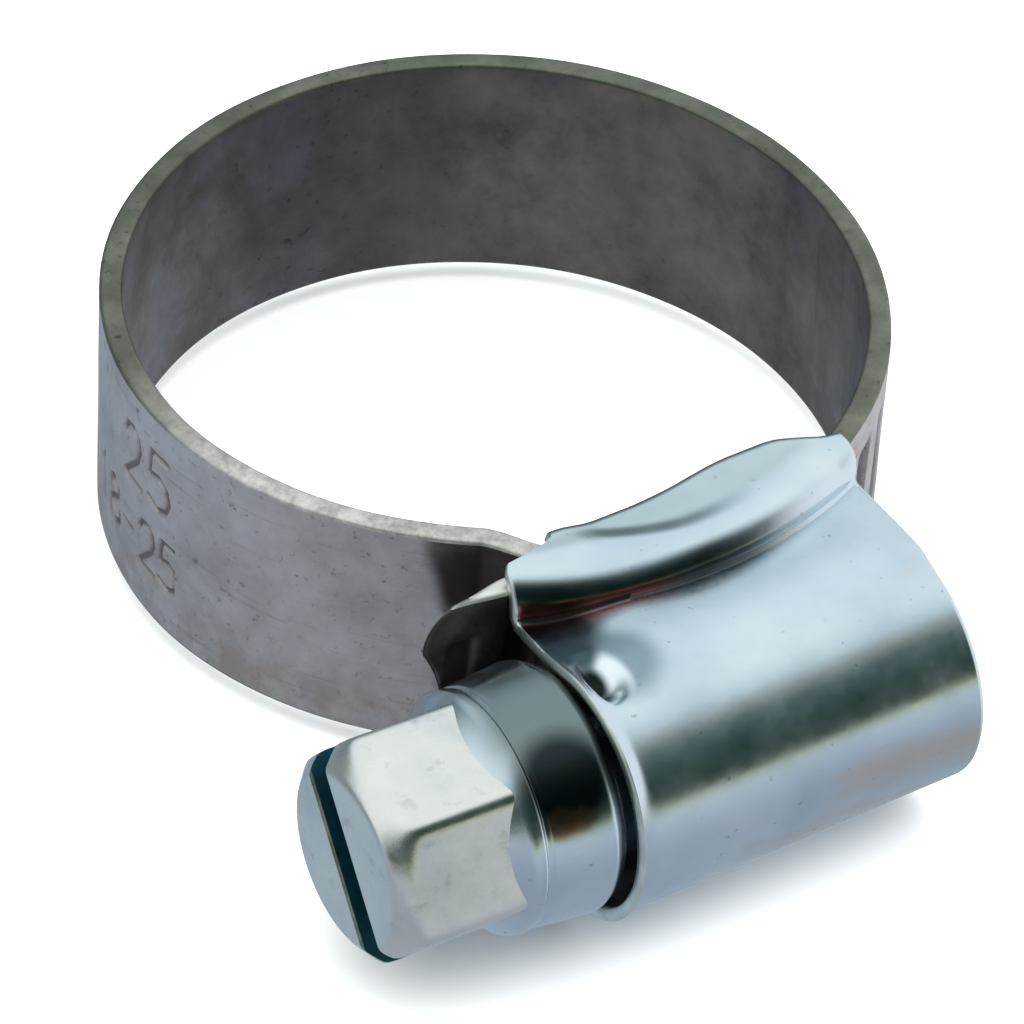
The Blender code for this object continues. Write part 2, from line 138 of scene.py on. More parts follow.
# ---- stamped size numerals ----
# Text, ring angle where it starts, z of its foot, height and advance of a letter.
NUMERALS = [("25", 261.0, 0.55, 2.3, 1.75), ("18-25", 248.6, -2.55, 1.9, 1.32)]
STAMP_DEPTH = 0.12
STAMP_HALF_WIDTH = 0.11
LETTER_WIDTH = 0.56         # share of a letter's height
FAR_ALONG = 1.5
FAR_ACROSS = 2.6

# ---- housing ----
SCREW_U = 18.0
BARREL_RADIUS = 4.45
SHEET = 0.45
FLANK_Z = 5.19
LIP_Z = 3.4
BORE_SIDE_U = 11.9
SWELL = 0.36
RIGHT_RISE = 0.62
LEFT_DIP = 0.12
LEFT_CORNER = (4.0, 5.4)    # how far left the skirt's corner starts and ends
LIP_CLEAR = 4.66
SHOULDER_RADIUS = 15.55
CREASE_Z = 4.16
CREASE_DROP = 0.45
CREASE_OUT = 0.12
CROWN_HANDLE = Vector((-1.0, 0.0))
CREASE_HANDLE = Vector((0.8, 0.12))
FOLD_FOOT = 0.1
FOLD_REACH = 1.1
FOLD_LEFT = 0.85            # extra reach of the fold towards each end
FOLD_RIGHT = 0.3
FLANK_DROP = 0.2
STEP_WIDTH = 1.05
HEM = 0.48
HEM_GAP = 0.06
HEM_U = 13.0                # the hem is nearer to the hose, and lower, than these
HEM_Z = 4.62
DIMPLE_S = -7.5
DIMPLE_DEG = 88.0
DIMPLE_DEPTH = 0.72
DIMPLE_LEFT = 0.55
DIMPLE_RIGHT = 1.25
DIMPLE_HALF_WIDTH = 1.35
RIM_LEFT = -8.3
RIM_FLARE = 0.2
RIM_LENGTH = 0.6
NECK_SET_IN = 0.45          # how far in from the rim each later stretch starts
FOLD_SET_IN = 0.15
HEM_SET_IN = 2.25
RIGHT_END = 4.85
RIGHT_OUT = 0.62
EDGE_BULGE = 0.1

# Points along each stretch of the housing's profile, and sections along s.
BARREL_COUNT = 72
NECK_COUNT = 14
FOLD_COUNT = 26
FLANK_COUNT = 24
HEM_COUNT = 12
LIP_COUNT = 8
STATIONS = 118
SHEET_SHARP_DEG = 46.0
SHEET_SHIFT = 2


def to_frame(x, y, z=0.0):
    return RING + Vector((x, y, z)) * MM


def smoothstep(value):
    value = min(max(value, 0.0), 1.0)
    return value * value * (3.0 - 2.0 * value)


def ramp(value, low, high):
    """0 below low, 1 above high, smooth in between."""
    return smoothstep((value - low) / (high - low))


def even(low, high, count):
    """Evenly spaced values, both ends included."""
    return [low + (high - low) * index / (count - 1) for index in range(count)]


def spaced(low, high, step):
    """Evenly spaced values, both ends included, no further apart than step."""
    return even(low, high, max(2, math.ceil((high - low) / step) + 1))


# ---- mesh helpers ----
def as_object(name, bm):
    """A new object in the scene from a closed mesh, its faces turned outwards."""
    bmesh.ops.recalc_face_normals(bm, faces=bm.faces)
    if bm.calc_volume(signed=True) < 0.0:
        bmesh.ops.reverse_faces(bm, faces=bm.faces)
    mesh = bpy.data.meshes.new(name)
    bm.to_mesh(mesh)
    bm.free()
    item = bpy.data.objects.new(name, mesh)
    bpy.context.scene.collection.objects.link(item)
    return item


def smooth(mesh, materials, sharp_deg):
    """Gives a mesh its materials and smooth shading, but for edges sharper than an angle."""
    for material in materials:
        mesh.materials.append(material)
    mesh.shade_smooth()
    mesh.set_sharp_from_angle(angle=math.radians(sharp_deg))


def join_loops(bm, loops):
    """Quads between closed loops of vertices that match one to one, as (place in the loop, face)."""
    made = []
    for lower, upper in zip(loops, loops[1:]):
        for index in range(len(lower)):
            after = (index + 1) % len(lower)
            made.append((index, bm.faces.new((lower[index], lower[after], upper[after], upper[index]))))
    return made


def join_closed(bm, loops):
    """A solid from closed loops of vertices, with a face over each end."""
    join_loops(bm, loops)
    bm.faces.new(loops[0])
    bm.faces.new(loops[-1])


def cap_ladder(bm, loop):
    """Closes a loop whose two halves face each other, with quads from one half to the other."""
    count = len(loop)
    for index in range(count // 2 - 1):
        bm.faces.new((loop[index], loop[index + 1], loop[count - 2 - index], loop[count - 1 - index]))


# ---- strap path ----
def seat_polar(degrees):
    """Distance from the ring's centre to the strap's line on the seat's arc."""
    angle = math.radians(degrees)
    along = SEAT_OFFSET.dot(Vector((math.sin(angle), -math.cos(angle))))
    return along + math.sqrt(along ** 2 - SEAT_OFFSET.length_squared + SEAT_RADIUS ** 2)


def ring_point(degrees):
    """The strap's line round the ring.  0 degrees is the front, and 90 is the right."""
    blend = ramp(degrees, *BLEND_DEG)
    radius = seat_polar(degrees) * (1.0 - blend) + RING_RADIUS * blend
    radius -= LEFT_SETBACK * ramp(degrees, *SETBACK_DEG)
    angle = math.radians(degrees)
    return Vector((radius * math.sin(angle), -radius * math.cos(angle)))


def arc_u(radius, x):
    """How far out towards -Y an arc about the seat's centre is."""
    return math.sqrt(radius ** 2 - (x - SEAT_OFFSET.x) ** 2) - SEAT_OFFSET.y


def arc_point(radius, x):
    return Vector((x, -arc_u(radius, x)))


def arc_slope(radius, x):
    across = x - SEAT_OFFSET.x
    return Vector((math.sqrt(radius ** 2 - across ** 2), across)).normalized()


def arc_run(radius, left, right, step=0.1):
    return [arc_point(radius, x) for x in spaced(left, right, step)]


def bezier(start, start_handle, end_handle, end, count=24):
    points = []
    for t in even(0.0, 1.0, count):
        s = 1.0 - t
        first = start * s ** 3 + start_handle * 3 * s * s * t
        points.append(first + end_handle * 3 * s * t * t + end * t ** 3)
    return points


class Path:
    """A polyline in plan, read by distance from where it starts."""

    def __init__(self, points):
        self.points = points
        self.at = [0.0]
        for before, after in zip(points, points[1:]):
            self.at.append(self.at[-1] + (after - before).length)

    def place(self, distance):
        """Point and unit tangent at a distance, straight on past either end."""
        low, high = 0, len(self.at) - 2
        while low < high:
            middle = (low + high + 1) // 2
            if self.at[middle] <= distance:
                low = middle
            else:
                high = middle - 1
        before, after = self.points[low], self.points[low + 1]
        share = (distance - self.at[low]) / (self.at[low + 1] - self.at[low])
        return before.lerp(after, share), self.tangent(low, share)

    def tangent(self, low, share):
        last = len(self.points) - 1
        here = (self.points[min(low + 1, last)] - self.points[max(low - 1, 0)]).normalized()
        there = (self.points[min(low + 2, last)] - self.points[low]).normalized()
        share = min(max(share, 0.0), 1.0)
        return here.lerp(there, share).normalized()

    def distance_where(self, test):
        """Distance of the first point that passes a test."""
        for point, distance in zip(self.points, self.at):
            if test(point):
                return distance
        return self.at[-1]


def free_path():
    """Tail, free end and ring in one line, from the tail's tip round to the left mouth."""
    bend = arc_point(SEAT_RADIUS, TAIL_BEND)
    level = Vector((TAIL_LEVEL, TAIL_V))
    leaving = Vector((BEND_REACH, 0.0))
    arriving = arc_slope(SEAT_RADIUS, bend.x) * BEND_REACH
    points = [Vector((TAIL_TIP, TAIL_V)), Vector(((TAIL_TIP + TAIL_LEVEL) / 2, TAIL_V))]
    points += bezier(level, level + leaving, bend - arriving, bend)
    ring_start = ring_point(FREE_END_DEG)
    points += arc_run(SEAT_RADIUS, TAIL_BEND, ring_start.x)[1:-1]
    points += [ring_point(degrees) for degrees in even(FREE_END_DEG, MOUTH_DEG, RING_STEPS + 1)]
    mouth = arc_point(FIXED_RADIUS, FIXED_LEFT - JOINT_GAP)
    end = points[-1]
    onwards = (end - points[-3]).normalized() * BEND_REACH
    back = arc_slope(FIXED_RADIUS, mouth.x) * BEND_REACH
    points += bezier(end, end + onwards, mouth - back, mouth)[1:]
    return Path(points)


STRAP = free_path()
MESH_AT = STRAP.distance_where(lambda point: point.x >= MESH_X)


def strap_distance(degrees):
    """Distance along the strap of a ring angle past the free end."""
    target = ring_point(degrees)
    return min(zip(STRAP.points, STRAP.at), key=lambda pair: (pair[0] - target).length_squared)[1]


# ---- strap surface ----
def groove(distance, z):
    """Depth of the pressed threads' impressions, 0 to 1."""
    from_mesh = distance - MESH_AT - z * GROOVE_LEAN
    number = min(max(round(from_mesh / GROOVE_STEP), GROOVE_FIRST), GROOVE_LAST)
    off = abs(from_mesh - number * GROOVE_STEP)
    across = 1.0 - ramp(off, GROOVE_FLOOR / 2 - WALL_IN, GROOVE_TOP / 2 + WALL_OUT)
    return across * (1.0 - ramp(abs(z), GROOVE_HALF_LENGTH - END_IN, GROOVE_HALF_LENGTH + END_OUT))


# Each letter is one stroke through points in a unit box.
GLYPHS = {
    "1": [(0.15, 0.78), (0.5, 1.0), (0.5, 0.0)],
    "2": [(0.0, 0.8), (0.18, 0.97), (0.55, 1.0), (0.82, 0.9), (0.9, 0.7), (0.75, 0.45), (0.0, 0.0),
          (0.95, 0.0)],
    "5": [(0.9, 1.0), (0.12, 1.0), (0.05, 0.56), (0.5, 0.62), (0.85, 0.5), (0.95, 0.3), (0.8, 0.08),
          (0.45, 0.0), (0.0, 0.1)],
    "8": [(0.48, 0.54), (0.12, 0.68), (0.1, 0.88), (0.48, 1.0), (0.86, 0.88), (0.84, 0.68), (0.48, 0.54),
          (0.04, 0.38), (0.04, 0.12), (0.48, 0.0), (0.92, 0.12), (0.92, 0.38), (0.48, 0.54)],
    "-": [(0.1, 0.48), (0.8, 0.48)],
}


def stroke_list():
    """Strokes of the size numerals as pairs of points (distance along the strap, z)."""
    strokes = []
    for text, degrees, foot, height, advance in NUMERALS:
        left = strap_distance(degrees)
        for letter in text:
            spots = [Vector((left + x * height * LETTER_WIDTH, foot + y * height)) for x, y in GLYPHS[letter]]
            strokes += zip(spots, spots[1:])
            left += advance
    return strokes


def stamp(strokes, distance, z):
    """Depth of the stamped numerals, 0 to 1."""
    here = Vector((distance, z))
    nearest = 1.0
    for a, b in strokes:
        along_off = min(abs(a.x - distance), abs(b.x - distance))
        if along_off > FAR_ALONG or abs(a.y - z) > FAR_ACROSS:
            continue
        along = b - a
        share = min(max((here - a).dot(along) / along.length_squared, 0.0), 1.0)
        nearest = min(nearest, (here - a - along * share).length)
    return 1.0 - ramp(nearest, STAMP_HALF_WIDTH * 0.35, STAMP_HALF_WIDTH * 1.55)


def leaning(distance, z):
    """Place of a mesh row's vertex along the strap: rows lean with the threads where there are any."""
    plain_again = MESH_AT + (GROOVE_LAST + 0.5) * GROOVE_STEP
    share = ramp(distance, LEAN_FROM, LEAN_FULL)
    share *= 1.0 - ramp(distance, plain_again, plain_again + LEAN_FADE)
    return distance + z * GROOVE_LEAN * share


def corner_drop(into, radius):
    """How far a rounded corner has fallen away, at a distance into it."""
    return radius - math.sqrt(max(radius ** 2 - into ** 2, 0.0)) if into > 0.0 else 0.0


def width_samples(step):
    corner = [HALF_WIDTH - EDGE_ROUND * (1.0 - math.sin(math.radians(a))) for a in (0, 22, 45, 67, 90)]
    inner = spaced(-corner[0], corner[0], step)
    return [-value for value in reversed(corner[1:])] + inner + corner[1:]


def tip_setback(z):
    """How far the tail's end outline lies in from its tip: rounded corners and a hollow."""
    into = abs(z) - (HALF_WIDTH - TIP_RADIUS)
    if into > 0.0:
        return corner_drop(into, TIP_RADIUS)
    return TIP_HOLLOW * (1.0 - (z / (HALF_WIDTH - TIP_RADIUS)) ** 2)


def tail_thickness(from_tip):
    """The tail is rolled thinner towards its tip."""
    return TIP_THICK + (1.0 - TIP_THICK) * ramp(from_tip, 0.0, TAPER)


def roll(distance, z):
    """Faint waviness of the strip from its rolling."""
    return ROLL_DEPTH * math.sin(distance * 0.9 + z * 0.35) * math.sin(z * 0.8 + 1.0)


def strap_piece(name, path, first, last, materials, mesh=PLAIN_MESH, outer=roll, inner=roll,
                full_recess=GROOVE_DEPTH, tip=()):
    """A length of strap: outer and inner give what is pressed into its two faces at (distance, z).

    The materials are those of the outer face, the inner face and the side edges.  full_recess is the
    depth that counts as fully pressed in, for the painted shade in the recesses.  tip has the distances of
    the rows before the first, if the strap's tip is there.
    """
    width_step, length_step = mesh
    widths = width_samples(width_step)
    distances = [*tip, *spaced(first, last, length_step)]
    bm = bmesh.new()
    recess = bm.verts.layers.float.new("recess")
    loops = []
    for distance in distances:
        from_tip = distance - distances[0]
        rounding, thickness = 0.0, HALF_THICK
        if tip:
            thickness *= tail_thickness(from_tip)
            rounding = corner_drop(EDGE_ROUND - from_tip, EDGE_ROUND)
        faces = []
        for side, press in ((1.0, outer), (-1.0, inner)):
            row = []
            for z in widths if side > 0 else reversed(widths):
                here = leaning(distance, z) if path is STRAP else distance
                if tip:
                    here += tip_setback(z) * max(0.0, 1.0 - from_tip / TIP_REACH)
                point, along = path.place(here)
                out = Vector((along.y, -along.x))
                pressed = press(here, z)
                edge_drop = corner_drop(abs(z) - (HALF_WIDTH - EDGE_ROUND), EDGE_ROUND)
                depth = thickness - edge_drop - rounding - pressed * thickness / HALF_THICK
                point = point + out * (side * max(depth, THINNEST))
                vertex = bm.verts.new(to_frame(point.x, point.y, z))
                vertex[recess] = ramp(pressed, THINNEST, full_recess)
                row.append(vertex)
            faces += row
        loops.append(faces)
    count = len(widths)
    for index, face in join_loops(bm, loops):
        place = index % count
        on_edge = place == count - 1
        on_edge = on_edge or abs(widths[place] + widths[place + 1]) / 2 > HALF_WIDTH - EDGE_ROUND
        face.material_index = 2 if on_edge else index // count
    cap_ladder(bm, loops[0])
    cap_ladder(bm, loops[-1])
    piece = as_object(name, bm)
    smooth(piece.data, materials, STRAP_SHARP_DEG)
    return piece


def pressed_outer(distance, z):
    return GROOVE_DEPTH * groove(distance, z) + roll(distance, z)


def pressed_inner(distance, z):
    """The threads show on the inner face as faint bumps."""
    return roll(distance, z) - THREAD_BUMP * groove(distance, z)


STROKES = stroke_list()


def stamped(distance, z):
    return STAMP_DEPTH * stamp(STROKES, distance, z) + roll(distance, z)


def build_tail(materials, last):
    """The free end, from the tail's tip to where the ring starts to bend."""
    tail = strap_piece("strap_tail_and_threads", STRAP, TIP_LENGTH, last, materials, THREAD_MESH,
                       pressed_outer, tip=TIP_ROWS)
    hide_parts("strap_free_end")
    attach(tail, "free_end")


def build_bend(number, first, last, materials):
    """The strap from one span's middle to the next, across the pivot between them."""
    outer, inner, mesh, full_recess = roll, roll, PLAIN_MESH, GROOVE_DEPTH
    if number in THREADED_SPANS:
        outer, inner, mesh = pressed_outer, pressed_inner, THREAD_MESH
    if number == STAMPED_SPAN:
        outer, mesh, full_recess = stamped, STAMP_MESH, STAMP_DEPTH
    piece = strap_piece(f"strap_bend_{number}", STRAP, first, last, materials, mesh, outer, inner,
                        full_recess)
    start, _ = STRAP.place(first)
    end, _ = STRAP.place(last)
    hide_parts(f"strap_span_{number}")
    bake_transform(piece)


def build_mouth(materials, first):
    """The strap's run into the left mouth."""
    mouth = strap_piece("strap_mouth", STRAP, first, STRAP.at[-1], materials, MOUTH_MESH)
    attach(mouth, "span_1")


def build_fixed_layer(materials):
    """The fixed end, held inside the housing."""
    fixed = Path(arc_run(FIXED_RADIUS, FIXED_LEFT, FIXED_RIGHT))
    held = strap_piece("strap_fixed_layer", fixed, 0.0, fixed.at[-1], materials)
    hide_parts("strap_fixed_end")
    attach(held, "housing")


def build_strap(materials):
    """The whole strap, in pieces that meet halfway between the pivots."""
    step_deg = (MOUTH_DEG - FREE_END_DEG) / SPANS
    seam = strap_distance(FREE_END_DEG) - TAIL_SEAM_BACK
    build_tail(materials, seam)
    for order in range(SPANS):
        next_seam = strap_distance(FREE_END_DEG + step_deg * order + step_deg / 2)
        build_bend(SPANS - order, seam, next_seam, materials)
        seam = next_seam
    build_mouth(materials, seam)
    build_fixed_layer(materials)


# ---- housing ----
def bore_side_u(s):
    """The skirts' edge towards the hose: nearly flat, deepest right of the middle, rising at the right."""
    swell = ramp(s, -2.6, 1.8) * (1.0 - ramp(s, 3.0, 5.2))
    ends = RIGHT_RISE * ramp(s, 3.4, 6.0) - LEFT_DIP * ramp(-s, *LEFT_CORNER)
    return BORE_SIDE_U - SWELL * swell + ends


def lip_reach(s):
    """Distance from the mid plane to the hemmed lip's edge."""
    present = ramp(s, -5.3, -3.9) * (1.0 - ramp(s, 1.6, 3.2))
    return LIP_CLEAR - (LIP_CLEAR - LIP_Z) * present


def turn(centre_u, centre_z, radius, start_deg, stop_deg, count):
    """Points (u, z) round a fold.  0 degrees faces out along u, 90 faces up."""
    points = []
    for angle in map(math.radians, even(start_deg, stop_deg, count)):
        points.append((centre_u + radius * math.cos(angle), centre_z + radius * math.sin(angle)))
    return points


def straight(start, end, count):
    """Points between two ends, both left out."""
    points = []
    for index in range(1, count + 1):
        share = index / (count + 1)
        points.append((start[0] + (end[0] - start[0]) * share, start[1] + (end[1] - start[1]) * share))
    return points


def fold_reach(s, width):
    """How far the fold leans in from the crest, widest at the left, within the skirt's width there."""
    reach = FOLD_REACH + FOLD_LEFT * ramp(-s, 1.0, 6.0) + FOLD_RIGHT * ramp(s, 1.0, 5.0)
    return min(reach, width * (0.66 - 0.09 * ramp(-s, *LEFT_CORNER)))


def flank_drop(s, room):
    """How much lower the flank lies beyond its step: nothing where it is narrow, less at the ends."""
    return FLANK_DROP * ramp(room, 0.1, 1.1) * (1.0 - 0.7 * ramp(s, -1.0, 1.8) - 0.6 * ramp(-s, 3.6, 5.2))


def half_profile(s):
    """The outer surface at s, from the barrel's crown down to the lip's edge, as (u, z)."""
    barrel = turn(SCREW_U, 0.0, BARREL_RADIUS, 0.0, 90.0, BARREL_COUNT)
    crest = arc_u(SHOULDER_RADIUS, s)
    side = bore_side_u(s)
    low = CREASE_Z - CREASE_DROP * ramp(-s, 4.0, 7.6)
    crease = Vector((crest + CREASE_OUT, low))
    crown = Vector(barrel[-1])
    neck = bezier(crown, crown + CROWN_HANDLE, crease + CREASE_HANDLE, crease, NECK_COUNT)
    neck = [(point.x, point.y) for point in neck[1:]]
    foot = low + FOLD_FOOT
    reach = fold_reach(s, crest - side)
    fold = []
    for angle in map(math.radians, even(0.0, 90.0, FOLD_COUNT)):
        u = crest - reach + reach * math.cos(angle)
        fold.append((u, foot + (FLANK_Z - foot) * math.sin(angle)))
    hem = min(HEM, (crest - side) / 4.0)
    room = crest - reach - side - hem
    drop = flank_drop(s, room)
    bottom = turn(side + hem, FLANK_Z - drop - hem, hem, 88.0, 180.0, HEM_COUNT)
    fall = FLANK_Z - bottom[0][1]
    step = min(STEP_WIDTH, room)
    flank = [(u, FLANK_Z - fall * ramp(fold[-1][0] - u, 0.0, step))
             for u, _ in straight(fold[-1], bottom[0], FLANK_COUNT)]
    edge = (side, min(lip_reach(s), bottom[-1][1] - 0.05))
    lip = straight(bottom[-1], edge, LIP_COUNT) + [edge]
    return barrel + neck + fold + flank + bottom + lip


def profile_normals(points):
    normals = []
    last = len(points) - 1
    for index in range(len(points)):
        before = points[max(index - 1, 0)]
        after = points[min(index + 1, last)]
        du, dz = after[0] - before[0], after[1] - before[1]
        size = math.hypot(du, dz) or 1.0
        normals.append((dz / size, -du / size))
    return normals


def left_edge(index):
    """Where the sheet starts along s, for each place on the profile."""
    crease = BARREL_COUNT + NECK_COUNT
    shoulder = crease + FOLD_COUNT
    hem = shoulder + FLANK_COUNT
    edge = RIM_LEFT + NECK_SET_IN * ramp(index, BARREL_COUNT, crease)
    edge += FOLD_SET_IN * ramp(index, crease, shoulder)
    return edge + HEM_SET_IN * ramp(index, shoulder - 8, hem + 5)


def right_edge(share):
    """Where the sheet ends along s, for each share of the profile."""
    return RIGHT_END + RIGHT_OUT * ramp(share, 0.36, 0.66)


def dimple(s, angle_deg):
    """Depth of the stop pressed into the barrel's top: steep by the rim, sloping up to the right."""
    across = math.radians(angle_deg - DIMPLE_DEG) * BARREL_RADIUS / DIMPLE_HALF_WIDTH
    from_deepest = s - DIMPLE_S
    along = from_deepest / (DIMPLE_LEFT if from_deepest < 0.0 else DIMPLE_RIGHT)
    return DIMPLE_DEPTH * (1.0 - ramp(math.hypot(across, along), 0.12, 1.0))


def rim_flare(s, angle_deg):
    """The barrel's rim turns out a little at its left end, less towards the crown."""
    away = ramp(abs(angle_deg), 5.0, 60.0) * (1.0 - ramp(abs(angle_deg), 85.0, 125.0))
    rise = max(0.0, 1.0 - (s - RIM_LEFT) / RIM_LENGTH)
    return RIM_FLARE * rise * rise * away


def housing_pair(s, index, points, normals, mirror):
    """Outer and inner point of the sheet as (s, u, z)."""
    u, z = points[index]
    nu, nz = normals[index]
    angle = math.degrees(math.atan2(z, u - SCREW_U))
    shift = 0.0
    on_barrel = u > SCREW_U - 2.0
    if on_barrel:
        shift = rim_flare(s, angle)
        if mirror > 0:
            shift -= dimple(s, angle)
    u += nu * shift
    z += nz * shift
    inner_u = u - nu * SHEET
    inner_z = z - nz * SHEET
    in_hem = u < HEM_U and inner_z < HEM_Z
    if in_hem:
        strap_inner_u = arc_u(FIXED_RADIUS - HALF_THICK, s)
        inner_u = max(min(inner_u, strap_inner_u - HEM_GAP), u + 0.1)
    return (s, u, z * mirror), (s, inner_u, inner_z * mirror)


def build_housing(materials):
    """The sheet, in sections along s for every place round the profile, lower half first."""
    last = len(half_profile(0.0)) - 1
    order = [(index, -1) for index in range(last, 0, -1)] + [(index, 1) for index in range(last + 1)]
    bm = bmesh.new()
    loops = []
    cache = {}
    for index, mirror in order:
        left, right = left_edge(index), right_edge(index / last)
        outer, inner = [], []
        for s in even(left, right, STATIONS):
            key = round(s, 4)       # places whose ends line up share their profiles
            if key not in cache:
                points = half_profile(s)
                cache[key] = (points, profile_normals(points))
            a, b = housing_pair(s, index, *cache[key], mirror)
            outer.append(Vector((a[0], -a[1], a[2])))
            inner.append(Vector((b[0], -b[1], b[2])))
        loops.append([bm.verts.new(to_frame(*p)) for p in sheet_section(outer, inner)])
    for index, face in join_loops(bm, loops):
        place = (index - SHEET_SHIFT) % len(loops[0])
        at_right = STATIONS - 1 <= place <= STATIONS + 2
        face.material_index = 1 if at_right or place >= 2 * STATIONS + 2 else 0
    cap_ladder(bm, loops[0])
    cap_ladder(bm, loops[-1])
    housing = as_object("housing_shell", bm)
    smooth(housing.data, materials, SHEET_SHARP_DEG)
    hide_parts("housing")
    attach(housing, "housing")


def sheet_section(outer, inner):
    """One closed section of sheet: outer face, a rounded end, the inner face and the other end."""
    bulge = Vector((EDGE_BULGE, 0.0, 0.0))
    rounding = ((0.15, 0.75), (0.5, 1.0), (0.85, 0.75))
    loop = list(outer)
    for share, lift in rounding:
        loop.append(outer[-1].lerp(inner[-1], share) + bulge * lift)
    loop += reversed(inner)
    for share, lift in rounding:
        loop.append(inner[0].lerp(outer[0], share) - bulge * lift)
    return loop[-SHEET_SHIFT:] + loop[:-SHEET_SHIFT]


# ---- screw ----
SPIN = JOINTS["worm_spin"]
HEX_FLATS = 7.0
HEX_END = -16.6
HEX_BASE = -12.25
HEX_TURN_DEG = 10.0
SLOT_TURN_DEG = 50.0
SLOT_WIDTH = 1.15
SLOT_DEPTH = 1.2
SLOT_CHAMFER = 0.08
SLOT_SLACK = 0.01
SHARPNESS = 30.0
HEAD_SIDES = 288
HEAD_SHARP_DEG = 32.0
COLLAR_SIDES = 128
COLLAR_CORNER = 0.1
COLLAR_SHARP_DEG = 35.0
COLLAR_END = -8.5
NECK_RADIUS = 2.9
SCREW_PIVOT_X = -1.5
WORM_START = -5.9
WORM_END = 3.6
JOURNAL_END = 4.6
WORM_ROOT = 3.1
WORM_CREST = 3.75
ROOT_HALF = 0.525           # half the thread's width at its root and its crest
CREST_HALF = 0.225
THREAD_STEPS = 72           # sections in one turn
THREAD_SHARP_DEG = 50.0
RUN_OUT = 14                # sections over which the thread fades at each end

# The crown: how far in from the head's end, and its radius there.
CROWN = [(0.0, 2.9), (0.03, 3.0), (0.09, 3.1), (0.18, 3.21), (0.3, 3.34), (0.45, 3.52), (0.6, 3.7),
         (0.75, 3.9), (0.9, 4.15), (1.05, 4.6)]

# The turned part behind the hexagon, as (x, radius): flange, groove, collar, neck, core and journal.
TURNED = [(HEX_BASE - 0.37, 3.4), (HEX_BASE + 0.25, 4.04), (-11.85, 4.13), (-11.55, 4.13), (-11.44, 4.0),
          (-11.3, 4.02), (-11.2, 4.1), (-9.16, 4.29), (-9.0, 4.26), (-8.56, 4.02), (COLLAR_END, 3.9),
          (COLLAR_END, NECK_RADIUS), (WORM_START, NECK_RADIUS), (WORM_START, WORM_ROOT),
          (WORM_END, WORM_ROOT), (WORM_END, NECK_RADIUS), (JOURNAL_END, NECK_RADIUS)]


def screw_matrix():
    axis = Vector(SPIN["axis"])
    yaw = Matrix.Rotation(math.atan2(axis.y, axis.x), 4, "Z")
    pitch = Matrix.Rotation(-math.asin(axis.z), 4, "Y")
    back = Matrix.Translation((-SCREW_PIVOT_X * MM, 0.0, 0.0))
    return Matrix.Translation(Vector(SPIN["pos_m"])) @ yaw @ pitch @ back


def round_vertex(bm, x, radius, angle):
    """A vertex at a distance along the screw, a radius and an angle about it, in millimetres."""
    return bm.verts.new(Vector((x, radius * math.cos(angle), radius * math.sin(angle))) * MM)


def full_turn(sides):
    return [2 * math.pi * index / sides for index in range(sides)]


def rounded(profile, radius, steps=4):
    """Rounds every inner corner of an (x, radius) profile by up to the given size."""
    points = [Vector(point) for point in profile]
    result = [points[0]]
    for before, here, after in zip(points, points[1:], points[2:]):
        size = min(radius, (before - here).length * 0.45, (after - here).length * 0.45)
        start = here + (before - here).normalized() * size
        end = here + (after - here).normalized() * size
        for t in even(0.0, 1.0, steps + 1):
            result.append(start * (1 - t) ** 2 + here * 2 * t * (1 - t) + end * t ** 2)
    result.append(points[-1])
    return result


def cut_away(item, cutter):
    """Takes a cutter's solid out of an object's mesh, and removes the cutter."""
    modifier = item.modifiers.new("Cut", "BOOLEAN")
    modifier.operation = "DIFFERENCE"
    modifier.solver = "EXACT"
    modifier.object = cutter
    bpy.context.view_layer.update()
    mesh = bpy.data.meshes.new_from_object(item.evaluated_get(bpy.context.evaluated_depsgraph_get()))
    item.modifiers.clear()
    item.data = mesh
    bpy.data.objects.remove(cutter, do_unlink=True)


def finish_screw_piece(item, materials, sharp_deg):
    """Moves a piece made along X to the screw's place, and gives it its materials."""
    item.data.transform(screw_matrix())
    smooth(item.data, materials, sharp_deg)
    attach(item, "screw")


def head_radius(angle, crown):
    """Outline of the hexagon held inside the turned crown, with all its corners a little rounded."""
    total = crown ** -SHARPNESS
    for flat in range(6):
        facing_flat = math.cos(angle - math.radians(HEX_TURN_DEG + 30.0 + 60.0 * flat))
        total += (max(facing_flat, 0.0) * 2.0 / HEX_FLATS) ** SHARPNESS
    return total ** (-1.0 / SHARPNESS)


def slot_cutter():
    """A prism across the end of the head, wider at its mouth."""
    half_width = SLOT_WIDTH / 2
    outline = [(HEX_END - 0.5, half_width + SLOT_CHAMFER + 0.5), (HEX_END + SLOT_CHAMFER, half_width),
               (HEX_END + SLOT_DEPTH, half_width)]
    outline += [(x, -across) for x, across in reversed(outline)]
    bm = bmesh.new()
    ends = [[bm.verts.new(Vector((x, length, across)) * MM) for x, across in outline]
            for length in (-HEX_FLATS, HEX_FLATS)]
    join_closed(bm, ends)
    cutter = as_object("slot_tool", bm)
    cutter.data.transform(Matrix.Rotation(math.radians(SLOT_TURN_DEG), 4, "X"))
    return cutter


def in_slot(centre, normal):
    """Whether a face is one of the slot's walls or its floor, seen with the slot turned level."""
    within = abs(centre.z) < SLOT_WIDTH / 2 + SLOT_SLACK
    from_end = centre.x - HEX_END
    within = within and SLOT_CHAMFER + SLOT_SLACK < from_end < SLOT_DEPTH + SLOT_SLACK
    return within and (abs(normal.z) > 0.95 or normal.x < -0.95)


def mark_slot(head):
    """Gives the faces inside the slot the second material."""
    level = Matrix.Rotation(math.radians(-SLOT_TURN_DEG), 3, "X")
    for face in head.data.polygons:
        face.material_index = int(in_slot(level @ (face.center / MM), level @ face.normal))


